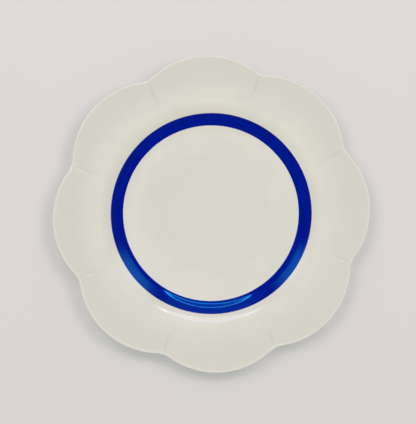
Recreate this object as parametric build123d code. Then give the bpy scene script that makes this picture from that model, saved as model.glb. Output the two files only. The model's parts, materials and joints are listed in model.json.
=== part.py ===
from build123d import *
import os
from math import asin, cos, degrees, pi, radians, sin, sqrt, tan

# Scalloped dessert plate in glazed porcelain, standing on its foot ring.
# Millimetres, +Z up, Z = 0 at the standing face, lobe tips on the X and Y axes.

# Outline seen from above: round lobes that meet in soft notches
lobe_count = 8
tip_radius = 110.0        # plate centre to the tip of a lobe
notch_depth = 8.3         # tip circle to the corner between two lobes, before it is rounded
notch_rounding = 18.0     # hollow rounding in that corner

# Section through the face, from the middle outwards
wall = 3.4                # thickness through both coats of glaze and the porcelain
well_floor_radius = 44.0  # flat floor of the well
dish_radius = 46.0        # hollow, gentle rise from the floor
dish_angle = 22.5         # how steep the rise ends, in degrees
cove_radius = 28.0        # tighter hollow curve up to the shoulder
cove_angle = 42.0         # how steep the cove ends, in degrees
shoulder_radius = 20.5    # rounded turn from the cove out on to the rim
rim_angle = 8.0           # slope of the rim, in degrees
rim_width = 4.4           # straight stretch of the rim, along its slope
fold_radius = 30.0        # hollow fold where the petals start
petal_angle = 11.5        # slope of the petals where they leave the fold, in degrees
petal_radius = 90.0       # domed curve of the petals out to the lip
lip_rounding = 1.3        # rounding of both edges of the lip
lip_share = 0.45          # most of the wall that one lip rounding takes

# Crease between two petals, running in from the notch and fading out
crease_length = 22.0
crease_depth = 0.8        # at the notch
crease_half_width = 6.0   # at the notch

# Foot ring
foot_height = 2.4         # standing face to the underside of the base
foot_radius = 55.0        # middle of the standing face
foot_face_width = 3.0
foot_draft = 16.0         # lean of both walls of the foot, in degrees
foot_rounding = 1.6       # hollow rounding where the foot meets the back

# Coats
glaze_thickness = 0.3
bare_foot_height = 1.0    # wiped free of glaze above the standing face
band_inner_radius = 61.0
band_width = 8.7          # seen from above

# How far the shaping bodies run past the plate
overrun = 4.0

well_floor_height = foot_height + wall
notch_radius = tip_radius - notch_depth
half_lobe = pi / lobe_count
lobe_centre = (tip_radius**2 - notch_radius**2) / (2 * (tip_radius - notch_radius * cos(half_lobe)))
lobe_radius = tip_radius - lobe_centre


def along(slope):
    """Unit step outwards along a section line of this slope, as (radius, height)."""
    return cos(radians(slope)), sin(radians(slope))


def square_to(slope):
    """Unit step off the face, square to a section line of this slope, as (radius, height)."""
    return -sin(radians(slope)), cos(radians(slope))


def moved(point, step, distance):
    """The point that lies a distance along a step from another."""
    return point[0] + step[0] * distance, point[1] + step[1] * distance


# Corners of the glazed face and the centres of its curves, all as (radius, height)
dish_start = (well_floor_radius, well_floor_height)
dish_centre = moved(dish_start, square_to(0), dish_radius)
dish_end = moved(dish_centre, square_to(dish_angle), -dish_radius)
cove_centre = moved(dish_end, square_to(dish_angle), cove_radius)
cove_end = moved(cove_centre, square_to(cove_angle), -cove_radius)
shoulder_centre = moved(cove_end, square_to(cove_angle), -shoulder_radius)
shoulder_end = moved(shoulder_centre, square_to(rim_angle), shoulder_radius)
rim_end = moved(shoulder_end, along(rim_angle), rim_width)
fold_centre = moved(rim_end, square_to(rim_angle), fold_radius)
fold_end = moved(fold_centre, square_to(petal_angle), -fold_radius)
petal_centre = moved(fold_end, square_to(petal_angle), -petal_radius)
petal_reach = overrun + max(0.0, tip_radius - fold_end[0])
last_slope = degrees(asin(sin(radians(petal_angle)) - petal_reach / petal_radius))


def on_section(point):
    """A (radius, height) pair as a point of the XZ plane."""
    return Vector(point[0], 0, point[1])


def section_arc(centre, radius, first, last):
    """Arc of the section from one slope to another; a negative radius is a hollow arc."""
    slopes = (first, (first + last) / 2, last)
    return ThreePointArc(*[on_section(moved(centre, square_to(slope), radius)) for slope in slopes])


def section_line(depth):
    """The section at a depth under the glazed face, from the axis to past the lip."""
    middle = on_section((0, well_floor_height - depth))
    dish = section_arc(dish_centre, -(dish_radius + depth), 0, dish_angle)
    cove = section_arc(cove_centre, -(cove_radius + depth), dish_angle, cove_angle)
    shoulder = section_arc(shoulder_centre, shoulder_radius - depth, cove_angle, rim_angle)
    fold = section_arc(fold_centre, -(fold_radius + depth), rim_angle, petal_angle)
    petal = section_arc(petal_centre, petal_radius - depth, petal_angle, last_slope)
    return [Line(middle, dish @ 0), dish, cove, shoulder, Line(shoulder @ 1, fold @ 0), fold, petal]


def face_height(radius):
    """Height of the glazed face at a radius."""
    if radius <= dish_start[0]:
        return well_floor_height
    if radius <= dish_end[0]:
        return dish_centre[1] - sqrt(dish_radius**2 - (radius - dish_centre[0])**2)
    if radius <= cove_end[0]:
        return cove_centre[1] - sqrt(cove_radius**2 - (radius - cove_centre[0])**2)
    if radius <= shoulder_end[0]:
        return shoulder_centre[1] + sqrt(shoulder_radius**2 - (radius - shoulder_centre[0])**2)
    if radius <= rim_end[0]:
        return shoulder_end[1] + (radius - shoulder_end[0]) * tan(radians(rim_angle))
    if radius <= fold_end[0]:
        return fold_centre[1] - sqrt(fold_radius**2 - (radius - fold_centre[0])**2)
    return petal_centre[1] + sqrt(petal_radius**2 - (radius - petal_centre[0])**2)


def turned(corners):
    """Solid of revolution about Z of a straight-sided section given as (radius, height) corners."""
    return revolve(make_face(Polyline(*[on_section(corner) for corner in corners], close=True)), Axis.Z)


def round_plate(inset):
    """The plate as a round blank, with this much taken off its face and its back.

    Its seam is turned to lie between a tip and a notch, clear of both.
    """
    face = section_line(inset)
    back = section_line(wall - inset)
    middle = Line(face[0] @ 0, back[0] @ 0)
    outer_end = Line(face[-1] @ 1, back[-1] @ 1)
    blank = revolve(make_face([*face, outer_end, *back, middle]), Axis.Z)
    return Rot(0, 0, degrees(half_lobe) / 2) * blank


def lobed_column(inset):
    """Upright column of the lobed outline, with this much taken off all round."""
    radius = lobe_radius - inset
    corner_radius = lobe_centre * cos(half_lobe) + sqrt(radius**2 - (lobe_centre * sin(half_lobe))**2)
    stations = ((corner_radius, -half_lobe), (lobe_centre + radius, 0), (corner_radius, half_lobe))
    lobes = []
    for lobe in range(lobe_count):
        middle = 2 * half_lobe * lobe
        points = [(reach * cos(middle + turn), reach * sin(middle + turn)) for reach, turn in stations]
        lobes.append(ThreePointArc(*points))
    outline = make_face(lobes)
    outline = fillet(outline.vertices(), notch_rounding + inset)
    return extrude(outline, face_height(tip_radius) + overrun)


def crease_cutter(inset):
    """Wedge over the crease on the X axis: a shallow V at the notch that runs out on the rim."""
    inner_radius = notch_radius - crease_length
    first_radius = inner_radius - crease_half_width / 2
    last_radius = notch_radius + overrun
    bends = (shoulder_end[0], rim_end[0], fold_end[0], (fold_end[0] + last_radius) / 2)
    radii = [first_radius, *[bend for bend in bends if first_radius < bend < last_radius], last_radius]
    flank = crease_half_width / crease_depth
    sections = []
    for radius in radii:
        depth = crease_depth * (radius - inner_radius) / crease_length
        bottom = face_height(radius) - depth - inset / cos(radians(petal_angle))
        top = face_height(radius) + crease_depth
        half_width = flank * (top - bottom)
        corners = ((radius, -half_width, top), (radius, half_width, top), (radius, 0, bottom))
        sections.append(make_face(Polyline(*corners, close=True)))
    return loft(sections, ruled=True)


def lobed_plate(inset):
    """The lobed plate with rounded lip and creases, with this much taken off every surface."""
    plate = round_plate(inset) & lobed_column(inset)
    lip_wall = plate.faces().filter_by(lambda face: abs(face.normal_at().Z) < sin(radians(1)))
    lip_edges = lip_wall.edges().filter_by(GeomType.LINE, reverse=True)
    plate = fillet(lip_edges, min(lip_rounding, lip_share * wall) - inset)
    return plate - PolarLocations(0, lobe_count, 180 / lobe_count) * crease_cutter(inset)


def with_foot(plate, growth, bottom):
    """A plate on its foot ring, which is thicker by growth on both walls and ends at a height.

    Each wall of the foot runs up into the middle of the plate's wall above it.
    """
    lean = tan(radians(foot_draft))
    half_face = foot_face_width / 2 + growth / cos(radians(foot_draft))
    corners = []
    for side in (-1, 1):
        wall_radius = foot_radius + side * half_face
        top = face_height(wall_radius) - wall / 2
        ends = [(wall_radius + side * lean * height, height) for height in (bottom, top)]
        corners.extend(ends[::side])
    foot = turned(corners)
    joined = plate + foot
    return fillet(new_edges(plate, foot, combined=joined), foot_rounding - growth)


def band_cutter():
    """Ring that takes in the glaze of the face from one edge of the band to the other."""
    inner = (band_inner_radius, face_height(band_inner_radius))
    outer_radius = band_inner_radius + band_width
    outer = (outer_radius, face_height(outer_radius))
    up, down = overrun, -wall / 2
    return turned([moved(inner, (0, 1), down), moved(inner, (0, 1), up),
                   moved(outer, (0, 1), up), moved(outer, (0, 1), down)])


porcelain_body = with_foot(lobed_plate(glaze_thickness), 0, 0)
glazed_plate = with_foot(lobed_plate(0), glaze_thickness, bare_foot_height)
base_glaze, outer_coat = (glazed_plate - porcelain_body).solids().sort_by(SortBy.VOLUME)
cobalt_band = outer_coat & band_cutter()
well_glaze, rim_glaze = (outer_coat - band_cutter()).solids().sort_by(SortBy.VOLUME)

os.makedirs("parts", exist_ok=True)
pieces = {
    "porcelain_body": porcelain_body,
    "well_glaze": well_glaze,
    "cobalt_band": cobalt_band,
    "rim_glaze": rim_glaze,
    "base_glaze": base_glaze,
}
for name, piece in pieces.items():
    export_step(piece, f"parts/{name}.step")
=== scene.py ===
import json
import logging
from collections.abc import Sequence
from dataclasses import dataclass, field
from enum import Enum
from math import atan2, cos, pi, radians, sin, sqrt, tan
from typing import Any

import bpy
import numpy as np
from bpy.types import Collection, Material, Node, NodeTree, Object, ShaderNodeTree
from bpy.types import NodeSocket as Socket
from mathutils import Matrix, Vector

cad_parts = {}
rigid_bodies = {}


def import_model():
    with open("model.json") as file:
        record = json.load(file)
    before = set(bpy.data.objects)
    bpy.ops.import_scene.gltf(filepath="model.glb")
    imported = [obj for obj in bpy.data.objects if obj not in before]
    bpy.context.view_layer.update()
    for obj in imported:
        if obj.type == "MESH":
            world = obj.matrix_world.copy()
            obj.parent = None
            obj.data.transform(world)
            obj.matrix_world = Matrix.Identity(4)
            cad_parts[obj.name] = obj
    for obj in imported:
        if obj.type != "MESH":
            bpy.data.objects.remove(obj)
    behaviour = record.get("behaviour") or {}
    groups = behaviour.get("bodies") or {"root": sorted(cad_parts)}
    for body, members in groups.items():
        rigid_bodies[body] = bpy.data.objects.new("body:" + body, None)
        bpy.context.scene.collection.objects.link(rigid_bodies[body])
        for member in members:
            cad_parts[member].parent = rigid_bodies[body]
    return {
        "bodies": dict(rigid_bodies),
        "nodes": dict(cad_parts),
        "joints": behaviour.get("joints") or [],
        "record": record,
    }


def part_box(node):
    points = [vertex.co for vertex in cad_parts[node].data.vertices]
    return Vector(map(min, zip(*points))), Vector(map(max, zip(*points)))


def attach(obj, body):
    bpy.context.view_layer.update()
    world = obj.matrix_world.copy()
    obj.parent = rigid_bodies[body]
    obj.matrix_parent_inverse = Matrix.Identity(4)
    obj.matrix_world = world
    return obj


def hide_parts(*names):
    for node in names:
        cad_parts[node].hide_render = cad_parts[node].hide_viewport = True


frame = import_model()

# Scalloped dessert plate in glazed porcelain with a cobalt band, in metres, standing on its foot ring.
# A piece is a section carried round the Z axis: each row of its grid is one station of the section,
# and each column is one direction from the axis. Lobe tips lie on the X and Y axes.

Colour = tuple[float, float, float]
Point = tuple[float, float]
Span = tuple[float, float]
Rows = tuple[np.ndarray, np.ndarray]

log = logging.getLogger("dessert_plate")
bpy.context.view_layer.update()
GLAZE_THICKNESS = 0.0003
SHARP_ANGLE = radians(40)
EDGE = "edge"                     # attribute: 1 on the outline, 0 away from it; it places the painted highlight along the lip
NOISE_SPAN: Span = (0.3, 0.7)     # nearly all of a noise lies in it
WHITE: Colour = (1.0, 1.0, 1.0)
MIX_SHARE, MIX_FIRST, MIX_SECOND, MIX_RESULT = 0, 6, 7, 2     # a Mix node's sockets for colours


class Slot(Enum):
    """The record's material slots."""

    BISCUIT = "biscuit"
    CLEAR_GLAZE = "clear_glaze"
    COBALT_GLAZE = "cobalt_glaze"


class Way(Enum):
    """Which way a section line bends, as the side of the curve's centre that it runs on."""

    HOLLOW = -1
    ROUNDED = 1


class Side(Enum):
    """Which wall of the foot ring, as the sign of its step away from the ring's middle."""

    INNER = -1
    OUTER = 1


class Trace(Enum):
    """What firing leaves on a surface, as outputs of the shared node group."""

    CLOUDS = "Clouds"
    RIPPLE = "Ripple"
    GRAIN = "Grain"
    SPECKS = "Specks"


class Lights(Enum):
    """What a lamp lights."""

    PLATE = "plate"
    FLOOR = "floor"


# Shape of the plate

@dataclass(frozen=True)
class Bend:
    """A round stretch of the section, with a straight one after it."""

    way: Way
    radius: float
    slope: float = 0.0         # where the bend ends
    straight: float = 0.0      # length of the straight stretch


@dataclass(frozen=True)
class PlateSection:
    """Section of the glazed face from the axis to the lip. Other surfaces lie at a depth under it."""

    wall: float = 0.0034
    foot_height: float = 0.0024
    floor_radius: float = 0.044
    dish: Bend = Bend(Way.HOLLOW, 0.046, radians(22.5))
    cove: Bend = Bend(Way.HOLLOW, 0.028, radians(42))
    shoulder: Bend = Bend(Way.ROUNDED, 0.0205, radians(8), straight=0.0044)
    fold: Bend = Bend(Way.HOLLOW, 0.030, radians(11.5))
    petals: Bend = Bend(Way.ROUNDED, 0.090)     # run on past the lip

    @staticmethod
    def off(point: Point, slope: float, distance: float) -> Point:
        """Steps off a section line of a slope, square to it and upwards.

        Args:
            point: Start, as (radius, height).
            slope: Slope of the line, in radians.
            distance: Length of the step; a negative one goes down into the wall.

        Returns:
            The end of the step, as (radius, height).
        """
        return point[0] - sin(slope) * distance, point[1] + cos(slope) * distance

    @property
    def floor_height(self) -> float:
        """Height of the well's floor."""
        return self.foot_height + self.wall

    @property
    def dish_centre(self) -> Point:
        """Centre of the gentle rise, straight over the edge of the floor."""
        return self.floor_radius, self.floor_height + self.dish.radius

    def height(self, radius: np.ndarray, depth: float) -> np.ndarray:
        """Works out the height of the surface at a depth under the glazed face.

        The section is followed out from the edge of the floor: a bend's centre lies square off its start,
        and its end lies square off its centre. Every bend keeps its centre at a depth, while a hollow one
        grows by the depth and a rounded one shrinks by it. The height is the centre's, minus (hollow) or
        plus (rounded) the upright leg of the triangle whose long side is the bend's radius and whose level
        leg is the distance out from the centre.

        Args:
            radius: Distances from the axis.
            depth: Depth under the glazed face, square to it.

        Returns:
            Heights, in the shape of radius.
        """
        heights = np.full_like(radius, self.floor_height - depth)
        start, slope = (self.floor_radius, self.floor_height), 0.0
        for bend in (self.dish, self.cove, self.shoulder, self.fold, self.petals):
            way = bend.way.value
            first = self.off(start, slope, -depth)
            centre = self.off(start, slope, -way * bend.radius)
            leg = np.sqrt(np.maximum((bend.radius - way * depth)**2 - (radius - centre[0])**2, 0.0))
            heights = np.where(radius <= first[0], heights, centre[1] + way * leg)
            start, slope = self.off(centre, bend.slope, way * bend.radius), bend.slope
            if bend.straight:
                first = self.off(start, slope, -depth)
                line = first[1] + (radius - first[0]) * tan(slope)
                heights = np.where(radius <= first[0], heights, line)
                start = start[0] + bend.straight * cos(slope), start[1] + bend.straight * sin(slope)
        return heights


@dataclass(frozen=True)
class LobedOutline:
    """Outline from above: round lobes that meet in hollow-rounded notches."""

    tip_radius: float
    notch_depth: float = 0.0083
    notch_rounding: float = 0.0180
    lobes: int = 8
    steps: int = 24           # columns in half a lobe
    even_share: float = 0.2   # the rest of the columns crowd towards the notch

    @property
    def half_lobe(self) -> float:
        """Angle from a tip to the next notch."""
        return pi / self.lobes

    @property
    def notch_radius(self) -> float:
        """Distance of the corner between two lobes, before it is rounded."""
        return self.tip_radius - self.notch_depth

    @property
    def lobe_centre(self) -> float:
        """Distance of a lobe's centre: the circle goes through the tip and both corners."""
        spread = self.tip_radius - self.notch_radius * cos(self.half_lobe)
        return (self.tip_radius**2 - self.notch_radius**2) / (2 * spread)

    @property
    def angles(self) -> np.ndarray:
        """Directions of the columns, all round.

        A column's share of the way from a tip to a notch is part even and part the parabola that starts
        steep and flattens out at the notch. The other half of the lobe is its mirror image.

        Returns:
            Angles from the X axis, in rising order.
        """
        along = np.arange(self.steps) / self.steps
        share = self.even_share * along + (1 - self.even_share) * (1 - (1 - along)**2)
        out = self.half_lobe * share
        back = 2 * self.half_lobe - self.half_lobe * np.append(share[1:], 1.0)[::-1]
        starts = 2 * self.half_lobe * np.arange(self.lobes)
        return (starts[:, None] + np.concatenate([out, back])[None, :]).ravel()

    def from_notch(self, angles: np.ndarray) -> np.ndarray:
        """Returns each direction's angle from the nearest notch."""
        return np.abs(np.mod(angles, 2 * self.half_lobe) - self.half_lobe)

    def radius(self, angles: np.ndarray, inset: np.ndarray | float) -> np.ndarray:
        """Works out the outline's distance from the axis, with some taken off all round.

        A lobe is a circle about its own centre: at an angle from the tip, the distance is the centre's
        part along that direction plus the leg that reaches the circle. In the notch the outline is the
        near side of a circle that touches both lobes, which grows as the lobes shrink.

        Args:
            angles: Directions from the axis.
            inset: How much is taken off; it may be a column against a row of angles.

        Returns:
            Distances, in the joint shape of angles and inset.
        """
        lobe_radius = self.tip_radius - self.lobe_centre
        reach = lobe_radius + self.notch_rounding
        sideways = self.lobe_centre * sin(self.half_lobe)
        hollow_centre = self.lobe_centre * cos(self.half_lobe) + sqrt(reach**2 - sideways**2)
        to_notch = self.from_notch(angles)
        to_tip = self.half_lobe - to_notch
        lobe = self.lobe_centre * np.cos(to_tip)
        lobe = lobe + np.sqrt((lobe_radius - inset)**2 - (self.lobe_centre * np.sin(to_tip))**2)
        leg = (self.notch_rounding + inset)**2 - (hollow_centre * np.sin(to_notch))**2
        hollow = hollow_centre * np.cos(to_notch) - np.sqrt(np.maximum(leg, 0.0))
        part = (lobe_radius - inset) / reach
        level = self.lobe_centre + part * (hollow_centre * cos(self.half_lobe) - self.lobe_centre)
        touch = np.arctan2(part * hollow_centre * sin(self.half_lobe), level)
        return np.where(to_tip < touch, lobe, hollow)


@dataclass(frozen=True)
class Creases:
    """Shallow valleys that run in from the notches between the petals, each with a fine line in it."""

    notch_radius: float
    length: float = 0.022
    depth: float = 0.0008
    half_width: float = 0.0056
    first_width: float = 0.35       # width where the crease starts, as a share of the full one
    line_depth: float = 0.00046     # two thirds of the way along the crease
    line_half_width: float = 0.0022

    @property
    def start(self) -> float:
        """Distance of the inner ends from the axis."""
        return self.notch_radius - self.length

    def drop(self, radius: np.ndarray, from_notch: np.ndarray) -> np.ndarray:
        """Works out how far the face sinks into the creases.

        The valley's depth and width grow from the inner end to the notch, and across it the drop falls
        off with the square of what is left of the half width. The line has the section of one cosine wave.
        Its depth goes with the square of the way along the crease times what is left of the way, so that
        it is nought at both ends and greatest two thirds of the way along.

        Args:
            radius: Distances from the axis.
            from_notch: Angles from the nearest notch.

        Returns:
            Drops, in the joint shape of both.
        """
        along = np.clip((radius - self.start) / self.length, 0.0, 1.0)
        across = radius * np.sin(from_notch)
        width = self.half_width * (self.first_width + (1 - self.first_width) * along)
        valley = self.depth * along * np.clip(1.0 - across / width, 0.0, 1.0)**2
        wave = 0.5 + 0.5 * np.cos(pi * np.clip(across / self.line_half_width, 0.0, 1.0))
        greatest = (2 / 3)**2 * (1 / 3)
        return valley + self.line_depth * along**2 * (1 - along) / greatest * wave


@dataclass(frozen=True)
class FootRing:
    """Ring that the plate stands on: two leaning walls with hollow roundings into the back."""

    section: PlateSection
    radius: float = 0.055
    face_width: float = 0.0030
    draft: float = radians(16)
    rounding: float = 0.0016
    bare_height: float = 0.0010
    round_steps: int = 9

    def wall_point(self, side: Side, growth: float, height: float) -> Point:
        """Finds a point of one wall.

        Args:
            side: Which wall.
            growth: Thickness of a coat on the wall, square to it.
            height: Height of the point.

        Returns:
            The point, as (radius, height).
        """
        reach = self.face_width / 2 + growth / cos(self.draft) + height * tan(self.draft)
        return self.radius + side.value * reach, height

    def rounding_line(self, side: Side, growth: float, depth: float) -> np.ndarray:
        """Works out the hollow rounding between one wall and the back of the gentle rise.

        Its centre lies off the wall and off that back by the same distance: a line beside the wall,
        taken up to where it meets a circle about the rise's centre.

        Args:
            side: Which wall.
            growth: Thickness of a coat on the wall.
            depth: Depth of the back under the glazed face.

        Returns:
            Points from the wall up to the back, one (radius, height) to a row.
        """
        size = self.rounding - growth
        up = np.array([side.value * sin(self.draft), cos(self.draft)])
        away = np.array([side.value * cos(self.draft), -sin(self.draft)])
        rise_centre = np.array(self.section.dish_centre)
        start = np.array(self.wall_point(side, growth, 0.0)) + away * size - rise_centre
        reach = self.section.dish.radius + depth + size
        climb = -start @ up - sqrt((start @ up)**2 - start @ start + reach**2)
        centre = start + up * climb
        first = atan2(-away[1], -away[0])
        last = atan2(-centre[1], -centre[0])
        turn = np.linspace(first, last, self.round_steps)
        return rise_centre + centre + size * np.stack([np.cos(turn), np.sin(turn)], axis=1)


def joined(*parts: Rows) -> Rows:
    """Returns stretches of rows, in order, as one section."""
    return np.concatenate([part[0] for part in parts]), np.concatenate([part[1] for part in parts])


def turned_back(part: Rows) -> Rows:
    """Returns a stretch of rows in the other order."""
    return part[0][::-1], part[1][::-1]


@dataclass(frozen=True)
class PlateShell:
    """The plate's surfaces as rows of stations, for any depth under the glaze."""

    section: PlateSection
    outline: LobedOutline
    creases: Creases
    foot: FootRing
    lip_rounding: float = 0.0013
    lip_steps: int = 9
    lip_highlight_width: float = 0.0028      # strip along the outline that gets the painted highlight
    hidden_rings: int = 6           # rows on a floor that doesn't show
    base_step: float = 0.001        # from the foot's inner rounding to the next row

    @property
    def blend_radius(self) -> float:
        """Where rows stop being round and start to follow the lobes: at the inner ends of the creases."""
        return self.creases.start

    def even(self, points: np.ndarray) -> Rows:
        """Returns a section of (radius, height) points that is the same all round."""
        shape = (len(points), len(self.outline.angles))
        return np.broadcast_to(points[:, :1], shape), np.broadcast_to(points[:, 1:], shape)

    def stretch(self, first: float, last: float, steps: int, depth: float) -> Rows:
        """Returns a number of round rows from one radius to another, at a depth under the face."""
        radius = np.linspace(first, last, steps)
        return self.even(np.stack([radius, self.section.height(radius, depth)], axis=1))

    def face(self, radius: np.ndarray, inset: float) -> np.ndarray:
        """Returns heights on the face, creases included, with some taken off every surface."""
        from_notch = self.outline.from_notch(self.outline.angles)
        return self.section.height(radius, inset) - self.creases.drop(radius, from_notch)

    def back(self, radius: np.ndarray, inset: float) -> np.ndarray:
        """Returns heights on the back, with some taken off every surface."""
        return self.section.height(radius, self.section.wall - inset)

    def toward_lip(self, shares: np.ndarray) -> np.ndarray:
        """Returns radii of rows that lie these shares of the way from the round row to the lip's turn."""
        turn = self.outline.radius(self.outline.angles, self.lip_rounding)
        return self.blend_radius + shares[:, None] * (turn - self.blend_radius)

    def rounding(self, side: Side, inset: float) -> np.ndarray:
        """Returns one of the foot's roundings, from the wall up to the back."""
        return self.foot.rounding_line(side, GLAZE_THICKNESS - inset, self.section.wall - inset)

    def well(self, last: float, depth: float, rings: int, steps: int, first_step: float = 0.0) -> Rows:
        """Lays round rows over the floor of the well and out beyond it.

        Args:
            last: Radius of the last row.
            depth: Depth under the glazed face.
            rings: Number of even rows on the floor.
            steps: Number of rows beyond it.
            first_step: From the floor's edge to the first row beyond it, or 0 for an even step.

        Returns:
            Radii and heights.
        """
        floor = self.section.floor_radius
        first = floor + (first_step or (last - floor) / steps)
        flat = self.stretch(floor / rings, floor, rings, depth)
        return joined(flat, self.stretch(first, last, steps, depth))

    def lip(self, inset: float) -> Rows:
        """Turns the rows over the lip, from the face to the back.

        Over a quarter turn the row goes out to the outline by the sine and sinks by what is left of the
        cosine. The same quarter turn, mirrored, brings it in to the back.

        Args:
            inset: How much is taken off every surface.

        Returns:
            Radii and heights.
        """
        size = self.lip_rounding - inset
        turn = np.linspace(0.0, pi / 2, self.lip_steps)[1:, None]
        out = self.outline.radius(self.outline.angles, inset + size * (1 - np.sin(turn)))
        sink = size * (1 - np.cos(turn))
        face, back = self.face(out, inset) - sink, self.back(out, inset) + sink
        last = self.toward_lip(np.ones(1))
        radius = np.concatenate([out, out[::-1], last])
        return radius, np.concatenate([face, back[::-1], self.back(last, inset)])

    def rim(self, inset: float, petals: int, petal_backs: int, back: int) -> Rows:
        """Lays rows over the petals, round the lip and over the back, down to the foot's outer wall.

        A row on the petals lies a fixed share of the way from a round row to the lip in every direction.

        Args:
            inset: How much is taken off every surface.
            petals: Number of rows on the petals, without the round row that they start from.
            petal_backs: Number of rows on their backs, without the last of the lip.
            back: Number of round rows from there to the foot's rounding.

        Returns:
            Radii and heights.
        """
        over = self.toward_lip(np.linspace(0.0, 1.0, petals + 1)[1:])
        under = self.toward_lip(np.linspace(1.0, 0.0, petal_backs + 1)[1:])
        rounding = self.rounding(Side.OUTER, inset)
        last = rounding[-1, 0]
        first = self.blend_radius + (last - self.blend_radius) / back
        return joined(
            (over, self.face(over, inset)),
            self.lip(inset),
            (under, self.back(under, inset)),
            self.stretch(first, last, back, self.section.wall - inset),
            turned_back(self.even(rounding[:-1])),
        )

    def base(self, inset: float, steps: int) -> Rows:
        """Lays round rows up the foot's inner rounding and in over the underside, nearly to the axis.

        Args:
            inset: How much is taken off every surface.
            steps: Number of rows on the underside.

        Returns:
            Radii and heights.
        """
        rounding = self.rounding(Side.INNER, inset)
        first = rounding[-1, 0] - self.base_step
        last = self.section.floor_radius / self.hidden_rings
        return joined(self.even(rounding), self.stretch(first, last, steps, self.section.wall - inset))

    def lip_highlight_share(self, rows: Rows) -> np.ndarray:
        """Returns what each point's distance in from the outline leaves of the width of the painted lip
        highlight, from 0 to 1.
        """
        outline = self.outline.radius(self.outline.angles, 0.0)
        return np.clip(1.0 - (outline - rows[0]) / self.lip_highlight_width, 0.0, 1.0)


def carried_round(name: str, rows: Rows, angles: np.ndarray, poles: Sequence[float]) -> Object:
    """Makes a mesh from a section carried round the axis.

    A point of the grid is (radius cos angle, radius sin angle, height). Rows run clockwise round the
    section, out over the face and in over the back, so that faces point outwards.

    Args:
        name: Name of the object.
        rows: Radii and heights, rows by columns.
        angles: Direction of each column.
        poles: Heights on the axis before the first row and after the last. With the first alone the mesh
            is an open sheet, and with neither it is a closed ring.

    Returns:
        The object, at the origin.
    """
    radius, height = rows
    points = np.stack([radius * np.cos(angles), radius * np.sin(angles), height], axis=-1).reshape(-1, 3)
    near = np.arange(radius.size).reshape(radius.shape)
    far = np.roll(near, -1, axis=0)
    if poles:
        near, far = near[:-1], far[:-1]
    quads = np.stack([near, far, np.roll(far, -1, axis=1), np.roll(near, -1, axis=1)], axis=-1)
    faces = quads.reshape(-1, 4).tolist()
    ends = ((near[0], np.roll(near[0], -1)), (np.roll(far[-1], -1), far[-1]))
    for pole, (here, there) in zip(poles, ends):
        faces += np.stack([np.full_like(here, len(points)), here, there], axis=1).tolist()
        points = np.concatenate([points, [[0.0, 0.0, pole]]])
    mesh = bpy.data.meshes.new(name)
    mesh.from_pydata(points.tolist(), [], faces)
    mesh.shade_smooth()
    mesh.set_sharp_from_angle(angle=SHARP_ANGLE)
    mesh.validate()
    piece = bpy.data.objects.new(name, mesh)
    bpy.context.scene.collection.objects.link(piece)
    return piece


# Finishes

class NodeSheet:
    """A node tree with short ways to add nodes and join them."""

    def __init__(self, tree: NodeTree) -> None:
        """Keeps the tree and clears it."""
        self.tree = tree
        tree.nodes.clear()

    def add(self, kind: str, inputs: dict[str | int, Any] | None = None, **settings: Any) -> Node:
        """Adds a node.

        Args:
            kind: Type of the node, without its "ShaderNode".
            inputs: Value or joined socket for each named or numbered input. Colours are opaque.
            settings: Properties of the node.

        Returns:
            The node.
        """
        node = self.tree.nodes.new(kind if kind.startswith("Node") else "ShaderNode" + kind)
        for key, value in settings.items():
            setattr(node, key, value)
        for key, value in (inputs or {}).items():
            socket = node.inputs[key]
            if isinstance(value, Socket):
                self.tree.links.new(value, socket)
            else:
                socket.default_value = (*value, 1.0) if socket.type == "RGBA" else value
        return node

    def value(self, operation: str, first: Any, second: Any = 0.0) -> Socket:
        """Returns the result of a sum on one or two values."""
        return self.add("Math", {0: first, 1: second}, operation=operation).outputs[0]

    def vector(self, operation: str, first: Any, second: Any) -> Socket:
        """Returns the result of a sum on two vectors."""
        return self.add("VectorMath", {0: first, 1: second}, operation=operation).outputs[0]

    def spread(self, value: Any, span: Span, start: Any = 0.0, end: Any = 1.0) -> Socket:
        """Returns a value carried smoothly from a span into start to end."""
        inputs = {"Value": value, "From Min": span[0], "From Max": span[1], "To Min": start, "To Max": end}
        return self.add("MapRange", inputs, interpolation_type="SMOOTHSTEP").outputs[0]

    def blend(self, share: Any, first: Any, second: Any) -> Socket:
        """Returns the colour that lies a share of the way from one colour to another."""
        inputs = {MIX_SHARE: share, MIX_FIRST: first, MIX_SECOND: second}
        return self.add("Mix", inputs, data_type="RGBA").outputs[MIX_RESULT]

    def tinted(self, colour: Any, tint: Any) -> Socket:
        """Returns the product of two colours."""
        inputs = {MIX_SHARE: 1.0, MIX_FIRST: colour, MIX_SECOND: tint}
        return self.add("Mix", inputs, data_type="RGBA", blend_type="MULTIPLY").outputs[MIX_RESULT]

    def noise(self, vector: Any, scale: float, detail: float, rough: float = 0.5) -> Socket:
        """Returns cloudy noise from 0 to 1."""
        inputs = {"Vector": vector, "Scale": scale, "Detail": detail, "Roughness": rough}
        return self.add("TexNoise", inputs).outputs[0]

    def place(self) -> Socket:
        """Returns the place on the piece, in metres."""
        return self.add("TexCoord").outputs["Object"]

    def level(self, place: Any) -> Socket:
        """Returns a place brought down to the plane that the plate stands on."""
        return self.vector("MULTIPLY", place, (1.0, 1.0, 0.0))

    def from_axis(self, place: Any) -> Socket:
        """Returns the distance from the plate's axis."""
        return self.add("VectorMath", {0: self.level(place)}, operation="LENGTH").outputs["Value"]


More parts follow.
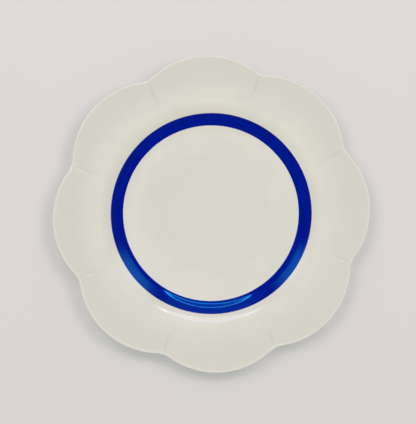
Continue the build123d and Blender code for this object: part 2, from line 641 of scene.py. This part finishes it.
@dataclass(frozen=True)
class FiredSurface:
    """What firing leaves on every surface: clouds of tone, a soft ripple, fine grain and rare specks."""

    name: str = "fired_surface"
    cloud_scale: float = 26.0
    ripple_scale: float = 95.0
    grain_scale: float = 2600.0
    grain_roughness: float = 0.6
    speck_scale: float = 210.0
    speck_size: float = 0.075     # share of a speck's cell
    speck_share: float = 0.06     # cells that hold one

    def build(self) -> ShaderNodeTree:
        """Builds the shared node group.

        Returns:
            The group, with a Vector going in and every trace coming out.
        """
        group = bpy.data.node_groups.new(self.name, "ShaderNodeTree")
        sheet = NodeSheet(group)
        group.interface.new_socket("Vector", in_out="INPUT", socket_type="NodeSocketVector")
        for trace in Trace:
            group.interface.new_socket(trace.value, in_out="OUTPUT", socket_type="NodeSocketFloat")
        place = sheet.add("NodeGroupInput").outputs["Vector"]
        cells = sheet.add("TexVoronoi", {"Vector": place, "Scale": self.speck_scale})
        dot = sheet.spread(cells.outputs["Distance"], (self.speck_size, self.speck_size / 2))
        pick = sheet.add("SeparateColor", {"Color": cells.outputs["Color"]}).outputs[0]
        chosen = sheet.value("LESS_THAN", pick, self.speck_share)
        traces = {
            Trace.CLOUDS: sheet.noise(place, self.cloud_scale, detail=3.0),
            Trace.RIPPLE: sheet.noise(place, self.ripple_scale, detail=1.0),
            Trace.GRAIN: sheet.noise(place, self.grain_scale, detail=2.0, rough=self.grain_roughness),
            Trace.SPECKS: sheet.value("MULTIPLY", dot, chosen),
        }
        sheet.add("NodeGroupOutput", {trace.value: socket for trace, socket in traces.items()})
        return group


@dataclass(frozen=True)
class Finish:
    """A procedural material on the shared fired surface."""

    slot: Slot
    smooth: float                   # its least roughness
    dull: float                     # its greatest
    relief_depth: float
    relief: Trace = Trace.RIPPLE    # what shapes the surface
    sheen: Trace = Trace.CLOUDS     # what its roughness follows
    specular: float = 0.5
    gloss: Colour = WHITE

    def paint(self, sheet: NodeSheet, place: Any, traces: dict[Trace, Socket]) -> Socket:
        """Lays out the finish's colours.

        Args:
            sheet: Tree of the material.
            place: Place on the piece.
            traces: What the shared group gives.

        Returns:
            The colour.
        """
        raise NotImplementedError

    def material(self, surface: ShaderNodeTree) -> Material:
        """Builds the material.

        Args:
            surface: The shared group.

        Returns:
            The material.
        """
        material = bpy.data.materials.new(self.slot.value)
        material.use_nodes = True
        sheet = NodeSheet(material.node_tree)
        place = sheet.place()
        fired = sheet.add("Group", {"Vector": place}, node_tree=surface)
        traces = {trace: fired.outputs[trace.value] for trace in Trace}
        relief = {"Strength": 1.0, "Distance": self.relief_depth, "Height": traces[self.relief]}
        shader = sheet.add("BsdfPrincipled", {
            "Base Color": self.paint(sheet, place, traces),
            "Roughness": sheet.spread(traces[self.sheen], NOISE_SPAN, self.smooth, self.dull),
            "Normal": sheet.add("Bump", relief).outputs[0],
            "Specular IOR Level": self.specular,
            "Specular Tint": self.gloss,
        })
        sheet.add("OutputMaterial", {"Surface": shader.outputs[0]})
        return material


@dataclass(frozen=True)
class ClearGlaze(Finish):
    """Gloss clear glaze over white porcelain: warm white, faintly greener where it lies thick."""

    slot: Slot = Slot.CLEAR_GLAZE
    smooth: float = 0.09
    dull: float = 0.16
    relief_depth: float = 0.00006
    thin: Colour = (0.702, 0.677, 0.583)
    thick: Colour = (0.669, 0.655, 0.564)
    # painted shade: the middle of the well is darker and greener
    middle_shade: Colour = (0.648, 0.646, 0.561)
    # painted shade: the rim darkens towards the lip
    lip: Colour = (0.611, 0.595, 0.513)
    # painted highlight: a lighter strip along the outline
    edge: Colour = (0.694, 0.667, 0.583)
    speck: Colour = (0.42, 0.39, 0.31)
    cloud_span: Span = (0.35, 0.65)
    middle_shade_span: Span = (0.048, 0.032)      # distances from the axis where the painted shade in the middle of the well starts and is full
    lip_shade_span: Span = (0.069, 0.097)     # likewise for the painted shade towards the lip
    lip_shade_share: float = 0.8                # how far that painted shade takes over
    # how the painted highlight fades in towards the outline
    lip_highlight_span: Span = (0.2, 0.7)

    def paint(self, sheet: NodeSheet, place: Any, traces: dict[Trace, Socket]) -> Socket:
        """Lays clouds of thick and thin glaze, painted shade that darkens the middle of the well, painted
        shade that darkens the rim towards the lip, a painted highlight along the outline, and iron specks.

        Args:
            sheet: Tree of the material.
            place: Place on the piece.
            traces: What the shared group gives.

        Returns:
            The colour.
        """
        tone = sheet.blend(sheet.spread(traces[Trace.CLOUDS], self.cloud_span), self.thin, self.thick)
        from_axis = sheet.from_axis(place)
        # painted shade: the middle of the well is darker and greener
        tone = sheet.blend(sheet.spread(from_axis, self.middle_shade_span), tone, self.middle_shade)
        # painted shade: the rim darkens towards the lip
        lip_shade_amount = sheet.spread(from_axis, self.lip_shade_span, 0.0, self.lip_shade_share)
        tone = sheet.blend(lip_shade_amount, tone, self.lip)
        # painted highlight: a lighter strip along the outline
        lip_highlight_nearness = sheet.add("Attribute", attribute_name=EDGE).outputs["Fac"]
        tone = sheet.blend(sheet.spread(lip_highlight_nearness, self.lip_highlight_span), tone, self.edge)
        return sheet.blend(traces[Trace.SPECKS], tone, self.speck)


@dataclass(frozen=True)
class CobaltGlaze(Finish):
    """Cobalt sunk in the glaze by a brush held to the turning plate: streaks run round the band."""

    slot: Slot = Slot.COBALT_GLAZE
    smooth: float = 0.045
    dull: float = 0.08
    relief_depth: float = 0.00004
    specular: float = 0.66
    gloss: Colour = (0.02, 0.55, 1.0)
    dark: Colour = (0.0001, 0.0004, 0.210)
    light: Colour = (0.0003, 0.0045, 0.286)
    streaks_across: float = 900.0    # streak noise per metre of radius
    streaks_along: float = 3.0       # streak noise along the band, as a radius in noise units
    streak_span: Span = (0.3, 0.75)

    def paint(self, sheet: NodeSheet, place: Any, traces: dict[Trace, Socket]) -> Socket:
        """Lays streaks in rings about the axis, where the brush left the cobalt thinner.

        Args:
            sheet: Tree of the material.
            place: Place on the piece.
            traces: What the shared group gives; not used here.

        Returns:
            The colour.
        """
        heading = sheet.add("VectorMath", {0: sheet.level(place)}, operation="NORMALIZE").outputs[0]
        along = sheet.vector("MULTIPLY", heading, (self.streaks_along,) * 3)
        across = sheet.value("MULTIPLY", sheet.from_axis(place), self.streaks_across)
        lift = sheet.add("CombineXYZ", {"Z": across}).outputs[0]
        streaks = sheet.noise(sheet.vector("ADD", along, lift), 1.0, detail=3.0)
        return sheet.blend(sheet.spread(streaks, self.streak_span), self.dark, self.light)


@dataclass(frozen=True)
class Biscuit(Finish):
    """Bare fired porcelain: matt, sandy to the touch, a little grey from the kiln shelf on the foot."""

    slot: Slot = Slot.BISCUIT
    smooth: float = 0.78
    dull: float = 0.92
    relief_depth: float = 0.00003
    relief: Trace = Trace.GRAIN
    sheen: Trace = Trace.GRAIN
    specular: float = 0.3
    clean: Colour = (0.80, 0.78, 0.72)
    cloudy: Colour = (0.74, 0.72, 0.65)
    rubbed: Colour = (0.60, 0.57, 0.51)
    rubbed_height: float = 0.0004

    def paint(self, sheet: NodeSheet, place: Any, traces: dict[Trace, Socket]) -> Socket:
        """Lays clouds all over, and a rubbed grey tone on the standing face.

        Args:
            sheet: Tree of the material.
            place: Place on the piece.
            traces: What the shared group gives.

        Returns:
            The colour.
        """
        tone = sheet.blend(traces[Trace.CLOUDS], self.clean, self.cloudy)
        height = sheet.add("SeparateXYZ", {0: place}).outputs["Z"]
        low = sheet.spread(height, (self.rubbed_height, 0.0))
        return sheet.blend(sheet.value("MULTIPLY", low, traces[Trace.GRAIN]), tone, self.rubbed)


# The plate

@dataclass
class DessertPlate:
    """The porcelain body and its four fired-on coats."""

    shell: PlateShell
    band_inner: float
    band_outer: float
    glaze: float = GLAZE_THICKNESS
    finishes: dict[Slot, Material] = field(default_factory=dict)

    def carry(self, node: str, slot: Slot, rows: Rows, poles: Sequence[float] = ()) -> Object:
        """Makes the piece that stands for a node, gives it its finish and ties it to the plate.

        Args:
            node: Name of the node.
            slot: Its finish.
            rows: Its section, as radii and heights.
            poles: Heights where the section starts and ends on the axis, or none for a ring.

        Returns:
            The piece.
        """
        piece = carried_round(f"{node}.surface", rows, self.shell.outline.angles, poles)
        piece.data.materials.append(self.finishes[slot])
        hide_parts(piece.name.removesuffix(".surface"))
        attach(piece, "root")
        return piece

    def porcelain_body(self) -> Object:
        """Builds the body: face, lip, back and foot ring, all under the glaze.

        Returns:
            The piece.
        """
        shell, section, glaze = self.shell, self.shell.section, self.glaze
        ring = [shell.foot.wall_point(side, 0.0, 0.0) for side in (Side.OUTER, Side.INNER)]
        rows = joined(
            shell.well(shell.blend_radius, glaze, shell.hidden_rings, steps=40, first_step=0.001),
            shell.rim(glaze, petals=14, petal_backs=12, back=24),
            shell.even(np.array(ring)),
            shell.base(glaze, steps=14),
        )
        poles = (section.floor_height - glaze, section.foot_height + glaze)
        return self.carry("porcelain_body", Slot.BISCUIT, rows, poles)

    def well_glaze(self) -> Object:
        """Builds the clear coat on the floor of the well, out to the band.

        Returns:
            The piece.
        """
        shell, glaze = self.shell, self.glaze
        shown = shell.well(self.band_inner, 0.0, rings=8, steps=28, first_step=0.0005)
        hidden = shell.well(self.band_inner, glaze, shell.hidden_rings, steps=13)
        poles = (shell.section.floor_height, shell.section.floor_height - glaze)
        return self.carry("well_glaze", Slot.CLEAR_GLAZE, joined(shown, turned_back(hidden)), poles)

    def cobalt_band(self) -> Object:
        """Builds the blue ring in the cove.

        Returns:
            The piece.
        """
        shown = self.shell.stretch(self.band_inner, self.band_outer, steps=20, depth=0.0)
        hidden = self.shell.stretch(self.band_outer, self.band_inner, steps=10, depth=self.glaze)
        return self.carry("cobalt_band", Slot.COBALT_GLAZE, joined(shown, hidden))

    def rim_glaze(self) -> Object:
        """Builds the clear coat from the band over the lip and down the back to the foot.

        Returns:
            The piece, with its nearness to the outline as an attribute.
        """
        shell, foot, glaze = self.shell, self.shell.foot, self.glaze
        ends = [foot.wall_point(Side.OUTER, growth, foot.bare_height) for growth in (glaze, 0.0)]
        shown = joined(
            shell.stretch(self.band_outer, shell.blend_radius, steps=32, depth=0.0),
            shell.rim(0.0, petals=28, petal_backs=18, back=30),
        )
        hidden = joined(
            shell.stretch(self.band_outer, shell.blend_radius, steps=14, depth=glaze),
            shell.rim(glaze, petals=10, petal_backs=8, back=14),
        )
        rows = joined(shown, shell.even(np.array(ends)), turned_back(hidden))
        piece = self.carry("rim_glaze", Slot.CLEAR_GLAZE, rows)
        # nearness to the outline, which places the painted highlight along the lip
        edge = piece.data.attributes.new(EDGE, "FLOAT", "POINT")
        edge.data.foreach_set("value", shell.lip_highlight_share(rows).astype(np.float32).ravel())
        return piece

    def base_glaze(self) -> Object:
        """Builds the clear coat on the underside, inside the foot ring.

        Returns:
            The piece.
        """
        shell, foot, glaze = self.shell, self.shell.foot, self.glaze
        ends = [foot.wall_point(Side.INNER, growth, foot.bare_height) for growth in (0.0, glaze)]
        rows = joined(
            turned_back(shell.base(glaze, steps=14)),
            shell.even(np.array(ends)),
            shell.base(0.0, steps=20),
        )
        poles = (shell.section.foot_height + glaze, shell.section.foot_height)
        return self.carry("base_glaze", Slot.CLEAR_GLAZE, rows, poles)

    def build(self) -> list[Object]:
        """Builds all the pieces, from the body outwards.

        Returns:
            The pieces.
        """
        surface = FiredSurface().build()
        for finish in (Biscuit(), ClearGlaze(), CobaltGlaze()):
            self.finishes[finish.slot] = finish.material(surface)
        return [
            self.porcelain_body(),
            self.well_glaze(),
            self.cobalt_band(),
            self.rim_glaze(),
            self.base_glaze(),
        ]


# Studio

@dataclass(frozen=True)
class PhotoView:
    """The photograph's viewpoint: nearly straight down on the face, a little off its axis."""

    turn: float = radians(3.3)      # how far the plate is turned in the picture, anticlockwise
    lean_left: float = 0.05         # camera's lean off the axis, per unit of its height
    lean_up: float = 0.05
    distance: float = 2.0
    pixel: float = 0.00068966       # size of a pixel at the lip
    picture_height: int = 424
    plate_right: float = 4.0        # plate's centre from the picture's, in pixels
    plate_down: float = 2.3
    sensor: float = 36.0

    @property
    def right(self) -> Vector:
        """Direction on the plate that points right in the picture."""
        return Vector((cos(self.turn), -sin(self.turn), 0.0))

    @property
    def up(self) -> Vector:
        """Direction on the plate that points up in the picture."""
        return Vector((sin(self.turn), cos(self.turn), 0.0))

    def build(self, lip_height: float) -> Object:
        """Sets up the camera.

        Args:
            lip_height: Height of the lip, where the pixel size holds.

        Returns:
            The camera.
        """
        shift = self.up * self.plate_down - self.right * self.plate_right
        target = Vector((0.0, 0.0, lip_height)) + shift * self.pixel
        level = self.up * self.lean_up - self.right * self.lean_left
        back = (level + Vector((0.0, 0.0, 1.0))).normalized()
        side = self.up.cross(back).normalized()
        axes = Matrix((side, back.cross(side), back)).transposed()
        lens = bpy.data.cameras.new("camera")
        lens.sensor_width = self.sensor
        lens.lens = self.sensor * self.distance / (self.picture_height * self.pixel)
        camera = bpy.data.objects.new("camera", lens)
        camera.matrix_world = Matrix.Translation(target + back * self.distance) @ axes.to_4x4()
        bpy.context.scene.collection.objects.link(camera)
        bpy.context.scene.camera = camera
        return camera


@dataclass(frozen=True)
class Softbox:
    """A soft lamp that faces the plate and stays out of its gloss."""

    name: str
    lights: Lights
    bearing: float       # from the picture's top towards its right, in radians
    lean: float          # from straight overhead, in radians
    spread: float        # half of its width, as an angle round the plate's axis
    rise: float          # half of its height, as an angle seen from the plate
    brightness: float    # 1 is as bright as white paper
    distance: float = 1.25

    def build(self, view: PhotoView, receivers: dict[Lights, Collection]) -> Object:
        """Hangs the lamp.

        Args:
            view: Viewpoint that the bearing is taken from.
            receivers: What each kind of lamp lights.

        Returns:
            The lamp.
        """
        level = view.up * cos(self.bearing) + view.right * sin(self.bearing)
        away = level * sin(self.lean) + Vector((0.0, 0.0, cos(self.lean)))
        lamp = bpy.data.lights.new(self.name, "AREA")
        lamp.shape = "RECTANGLE"
        lamp.size = 2 * self.distance * sin(self.lean) * tan(self.spread)
        lamp.size_y = 2 * self.distance * tan(self.rise)
        lamp.energy = self.brightness * pi * lamp.size * lamp.size_y
        box = bpy.data.objects.new(self.name, lamp)
        facing = away.to_track_quat("Z", "Y").to_matrix().to_4x4()
        box.matrix_world = Matrix.Translation(away * self.distance) @ facing
        box.visible_camera = False
        box.visible_glossy = False
        box.light_linking.receiver_collection = receivers[self.lights]
        bpy.context.scene.collection.objects.link(box)
        return box


@dataclass(frozen=True)
class Pane:
    """A soft-edged pane in the tent that only the gloss sees."""

    bearing: float           # of its middle, from the picture's top towards its right
    lean: float              # of its middle, from straight overhead
    spread: float            # half of its width, to where it has faded out
    rise: float              # half of its height, likewise
    brightness: float
    colour: Colour = (0.55, 0.74, 0.92)
    even_across: float = 0.2     # share of the width that is evenly bright
    even_up: float = 0.6         # share of the height that is evenly bright

    def glow(self, sheet: NodeSheet, heading: Any, lean: Any) -> Socket:
        """Lays out the pane in the world: the product of a fade across and a fade up and down.

        Args:
            sheet: Tree of the world.
            heading: Angle round the plate's axis, from the picture's top.
            lean: Angle from straight overhead.

        Returns:
            The pane's brightness in that direction.
        """
        across = (heading, self.bearing, self.spread, self.even_across)
        upwards = (lean, self.lean, self.rise, self.even_up)
        glow: Any = self.brightness
        for angle, middle, half, even in (across, upwards):
            off = sheet.value("ABSOLUTE", sheet.value("SUBTRACT", angle, middle))
            glow = sheet.spread(off, (half, even * half), 0.0, glow)
        return glow


@dataclass(frozen=True)
class ArchedLamp:
    """A lamp in the tent over the picture's top: a pale half-round pane with a bright frame."""

    bearing: float = radians(6.2)   # of its middle, from the picture's top towards its right
    lean: float = radians(46.5)     # of its straight upper edge, from straight overhead
    rise: float = radians(11.2)     # from that edge down to the crown of the arch
    spread: float = radians(28.3)   # half of its width, as an angle round the plate's axis
    frame_width: float = 0.075      # half of the frame's width, as a share of the rise
    frame_fade: float = 0.4         # share of that over which it fades, either way
    pane: float = 0.32
    frame: float = 8.6
    colour: Colour = (1.05, 1.0, 1.3)

    def glow(self, sheet: NodeSheet, heading: Any, lean: Any) -> Socket:
        """Lays out the lamp in the world.

        Down and across are shares of the rise and of half the width. The distance from the outline is
        the greater of how far a direction lies past the arch and how far it lies past the straight edge.

        Args:
            sheet: Tree of the world.
            heading: Angle round the plate's axis, from the picture's top.
            lean: Angle from straight overhead.

        Returns:
            The lamp's brightness in that direction.
        """
        down = sheet.value("DIVIDE", sheet.value("SUBTRACT", lean, self.lean), self.rise)
        across = sheet.value("DIVIDE", sheet.value("SUBTRACT", heading, self.bearing), self.spread)
        squares = sheet.value("ADD", sheet.value("POWER", down, 2.0), sheet.value("POWER", across, 2.0))
        past_arch = sheet.value("SUBTRACT", sheet.value("SQRT", squares), 1.0)
        outline = sheet.value("MAXIMUM", past_arch, sheet.value("MULTIPLY", down, -1.0))
        pane = sheet.spread(outline, (self.frame_width, -self.frame_width), 0.0, self.pane)
        edges = (self.frame_width * (1 + self.frame_fade), self.frame_width * (1 - self.frame_fade))
        frame = sheet.spread(sheet.value("ABSOLUTE", outline), edges, 0.0, self.frame)
        return sheet.value("ADD", pane, frame)


@dataclass(frozen=True)
class TentPart:
    """A part of the tent whose brightness swings round the axis as a cosine."""

    level: float
    swing: float       # how much brighter its bright side is, and the other dimmer
    bearing: float     # of its bright side, from the picture's top towards its right

    def glow(self, sheet: NodeSheet, heading: Any) -> Socket:
        """Returns the part's brightness at an angle round the plate's axis."""
        to_bright = sheet.value("COSINE", sheet.value("SUBTRACT", heading, self.bearing))
        return sheet.value("ADD", sheet.value("MULTIPLY", to_bright, self.swing), self.level)


@dataclass(frozen=True)
class Studio:
    """A pale floor in a light tent: dim walls, a bright canopy, and an opening in it for the camera."""

    wall: TentPart = TentPart(0.91, 0.19, radians(-98))
    canopy: TentPart = TentPart(0.70, 0.32, radians(125))
    wall_in_gloss: float = 0.2
    opening: float = 0.2
    wall_to_canopy: Span = (cos(radians(46)), cos(radians(32)))       # by a direction's upward part
    canopy_to_opening: Span = (cos(radians(22)), cos(radians(9)))
    paper: Colour = (0.722, 0.686, 0.672)
    paper_dark: Colour = (0.700, 0.664, 0.650)
    fibre_scale: float = 700.0
    fibre_share: float = 0.35       # most of the darker paper that shows in the fibres
    paper_lift: float = 0.58        # share of the paper that shows evenly lit
    lift_tint: Colour = (0.94, 1.05, 1.02)        # cooler than the paper, so that shadows turn cool
    matt_tint: Colour = (0.297, 0.252, 0.267)     # darker and warmer, for the part that the lamps light
    floor_size: float = 5.0
    floor_gap: float = 0.00005      # under the standing face
    floor_rings: int = 24
    floor_columns: int = 96
    arch: ArchedLamp = ArchedLamp()
    panes: Sequence[Pane] = (
        Pane(radians(-57), radians(70), spread=radians(21), rise=radians(20), brightness=2.4),
        Pane(radians(57), radians(70), spread=radians(21), rise=radians(20), brightness=2.4),
        Pane(
            radians(4), radians(58), spread=radians(38), rise=radians(30), brightness=0.45,
            colour=(0.85, 1.0, 1.25), even_across=0.5,
        ),
    )
    lamps: Sequence[Softbox] = (
        Softbox(
            "fill", Lights.PLATE, radians(176), radians(55),
            spread=radians(45), rise=radians(9), brightness=1.58,
        ),
        Softbox(
            "key", Lights.PLATE, radians(12), radians(43),
            spread=radians(20), rise=radians(11), brightness=2.06,
        ),
        Softbox(
            "floor_right", Lights.FLOOR, radians(46), radians(21),
            spread=radians(24), rise=radians(8), brightness=55.0,
        ),
        Softbox(
            "floor_left", Lights.FLOOR, radians(-40), radians(21),
            spread=radians(24), rise=radians(8), brightness=55.0,
        ),
    )

    def floor(self) -> Object:
        """Lays the floor: a round sheet whose rings widen with the square of their number.

        Returns:
            The floor.
        """
        out = self.floor_size * (np.arange(1, self.floor_rings + 1) / self.floor_rings)**2
        angles = np.linspace(0.0, 2 * pi, self.floor_columns, endpoint=False)
        radius = np.repeat(out[:, None], self.floor_columns, axis=1)
        rows = (radius, np.full_like(radius, -self.floor_gap))
        sheet = carried_round("floor", rows, angles, (-self.floor_gap,))
        sheet.data.materials.append(self.paper_material())
        return sheet

    def paper_material(self) -> Material:
        """Builds the floor's matt paper, part of which shows evenly lit so that shadows stay soft.

        From below the paper is clear, so that the plate's underside shows.

        Returns:
            The material.
        """
        material = bpy.data.materials.new("paper")
        material.use_nodes = True
        sheet = NodeSheet(material.node_tree)
        fibres = sheet.noise(sheet.place(), self.fibre_scale, detail=3.0)
        dark = sheet.spread(fibres, NOISE_SPAN, 0.0, self.fibre_share)
        tone = sheet.blend(dark, self.paper, self.paper_dark)
        matt = sheet.add("BsdfDiffuse", {"Color": sheet.tinted(tone, self.matt_tint)})
        glow = sheet.add("Emission", {"Color": sheet.tinted(tone, self.lift_tint), "Strength": 1.0})
        ray = sheet.add("LightPath")
        seen = sheet.value("MAXIMUM", ray.outputs["Is Camera Ray"], ray.outputs["Is Glossy Ray"])
        seen = sheet.value("MAXIMUM", seen, ray.outputs["Is Transmission Ray"])
        share = sheet.value("MULTIPLY", seen, self.paper_lift)
        paper = sheet.add("MixShader", {0: share, 1: matt.outputs[0], 2: glow.outputs[0]})
        clear = sheet.add("BsdfTransparent")
        under = sheet.add("NewGeometry").outputs["Backfacing"]
        sided = sheet.add("MixShader", {0: under, 1: paper.outputs[0], 2: clear.outputs[0]})
        sheet.add("OutputMaterial", {"Surface": sided.outputs[0]})
        return material

    def world(self, view: PhotoView) -> None:
        """Lights the tent by direction. The gloss sees dimmer walls, and the camera plain paper.

        Args:
            view: Viewpoint that bearings are taken from.
        """
        world = bpy.data.worlds.new("tent")
        bpy.context.scene.world = world
        world.use_nodes = True
        sheet = NodeSheet(world.node_tree)
        ray = sheet.add("LightPath")
        in_gloss = ray.outputs["Is Glossy Ray"]
        away = sheet.add("TexCoord").outputs["Generated"]
        turned = sheet.add("VectorRotate", {"Vector": away, "Angle": view.turn}, rotation_type="Z_AXIS")
        parts = sheet.add("SeparateXYZ", {0: turned.outputs[0]}).outputs
        heading = sheet.value("ARCTAN2", parts["X"], parts["Y"])
        lean = sheet.value("ARCCOSINE", parts["Z"])
        wall = sheet.spread(in_gloss, (0.0, 1.0), self.wall.glow(sheet, heading), self.wall_in_gloss)
        cover = sheet.spread(parts["Z"], self.wall_to_canopy, wall, self.canopy.glow(sheet, heading))
        tent = sheet.spread(parts["Z"], self.canopy_to_opening, cover, self.opening)
        light = sheet.add("Background", {"Color": WHITE, "Strength": tent})
        glows = [(self.arch.colour, self.arch.glow(sheet, heading, lean))]
        for pane in self.panes:
            glows.append((pane.colour, sheet.value("MULTIPLY", pane.glow(sheet, heading, lean), in_gloss)))
        for colour, strength in glows:
            glow = sheet.add("Background", {"Color": colour, "Strength": strength})
            light = sheet.add("AddShader", {0: light.outputs[0], 1: glow.outputs[0]})
        plain = sheet.add("Background", {"Color": self.paper, "Strength": 1.0})
        seen = ray.outputs["Is Camera Ray"]
        mixed = sheet.add("MixShader", {0: seen, 1: light.outputs[0], 2: plain.outputs[0]})
        sheet.add("OutputWorld", {"Surface": mixed.outputs[0]})

    def build(self, view: PhotoView, pieces: Sequence[Object]) -> None:
        """Sets up the floor, the tent and the lamps.

        Args:
            view: Viewpoint that the lamps are placed from.
            pieces: The plate's pieces.
        """
        self.world(view)
        receivers = {}
        for kind, lit in ((Lights.PLATE, pieces), (Lights.FLOOR, [self.floor()])):
            receivers[kind] = bpy.data.collections.new(f"lit_{kind.value}")
            for piece in lit:
                receivers[kind].objects.link(piece)
        for lamp in self.lamps:
            lamp.build(view, receivers)
        bpy.context.scene.view_settings.view_transform = "Standard"


def main() -> None:
    """Builds the plate and its studio."""
    logging.basicConfig(level=logging.INFO, format="%(name)s: %(message)s")
    section = PlateSection()
    outline = LobedOutline(tip_radius=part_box("rim_glaze")[1].x)
    shell = PlateShell(section, outline, Creases(outline.notch_radius), FootRing(section))
    plate = DessertPlate(shell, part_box("well_glaze")[1].x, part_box("cobalt_band")[1].x)
    pieces = plate.build()
    for piece in pieces:
        log.info("%s: %d faces", piece.name, len(piece.data.polygons))
    view = PhotoView()
    Studio().build(view, pieces)
    view.build(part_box("rim_glaze")[1].z)


if __name__ == "__main__":
    main()
